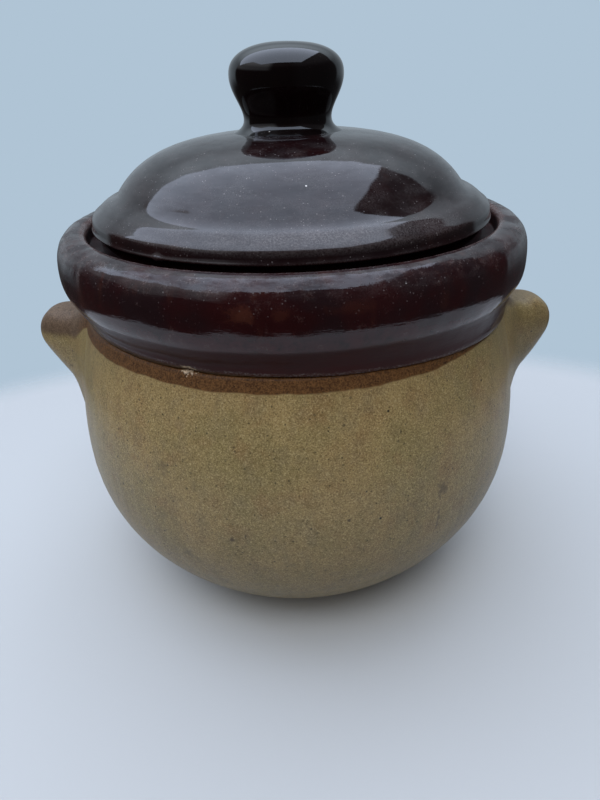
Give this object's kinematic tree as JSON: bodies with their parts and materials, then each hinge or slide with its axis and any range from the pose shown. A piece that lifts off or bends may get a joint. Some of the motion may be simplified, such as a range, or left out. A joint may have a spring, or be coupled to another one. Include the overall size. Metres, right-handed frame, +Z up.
{
  "type": "confit pot",
  "caption": "Round-bellied stoneware confit pot with a rolled dark-glazed rim, a lug on each side, and a domed lift-off lid with a knob that sits on a ledge inside the rim.",
  "frame": {"origin": "centre of the flat base, on the surface that the pot stands on", "axes": "+Z up along the pot's axis, +X through the right-hand lug, +Y away from the front"},
  "size_m": [0.242, 0.206, 0.2371],
  "materials": {
    "stoneware": "khaki salt-glazed stoneware, speckled, semi-gloss",
    "dark_glaze": "near-black red-brown glaze, glossy"
  },
  "bodies": {
    "pot": {"pot_body": "stoneware", "rim_collar": "dark_glaze", "lug_left": "stoneware", "lug_right": "stoneware"},
    "lid": {"lid": "dark_glaze", "lid_knob": "dark_glaze"}
  },
  "joints": [
    {"name": "lid_lift", "type": "slide", "parent": "pot", "child": "lid", "axis": [0, 0, 1], "range_m": [0, 0.08]}
  ]
}
